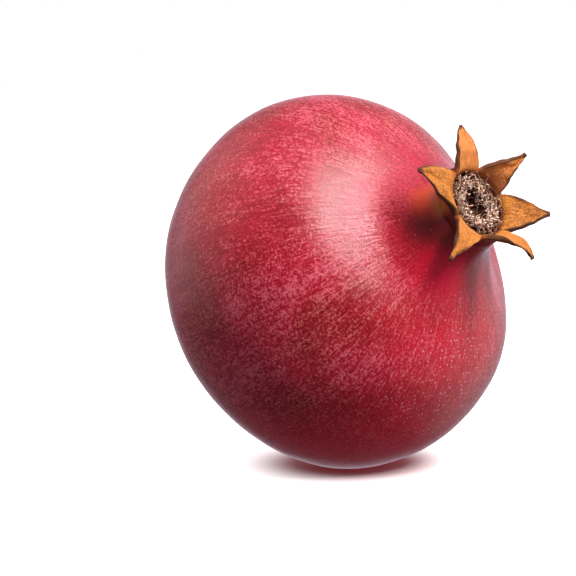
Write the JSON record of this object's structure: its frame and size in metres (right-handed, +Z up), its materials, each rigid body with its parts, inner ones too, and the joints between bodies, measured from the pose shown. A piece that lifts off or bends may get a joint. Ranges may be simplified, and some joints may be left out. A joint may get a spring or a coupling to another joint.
{
  "type": "pomegranate",
  "caption": "Whole pomegranate lying on its side, with an open crown of dry pointed sepals round a tuft of dried stamens, and the stub of its cut stem.",
  "frame": {"origin": "centre of the small flat spot that the fruit rests on", "axes": "+Z up, +X level under the fruit's own axis, from the stem end towards the crown, so the crown points up towards +X"},
  "size_m": [0.1013, 0.0934, 0.094],
  "materials": {
    "skin": "satin leathery rind, crimson with pink streaks and pale specks",
    "sepal": "dry and matt, ochre with dark brown edges",
    "stamen": "dry and fibrous, cream to dark brown",
    "stem": "matt woody bark with a paler cut end"
  },
  "bodies": {
    "root": {"fruit": "skin", "crown": "sepal", "stamens": "stamen", "stem_stub": "stem"}
  },
  "joints": []
}
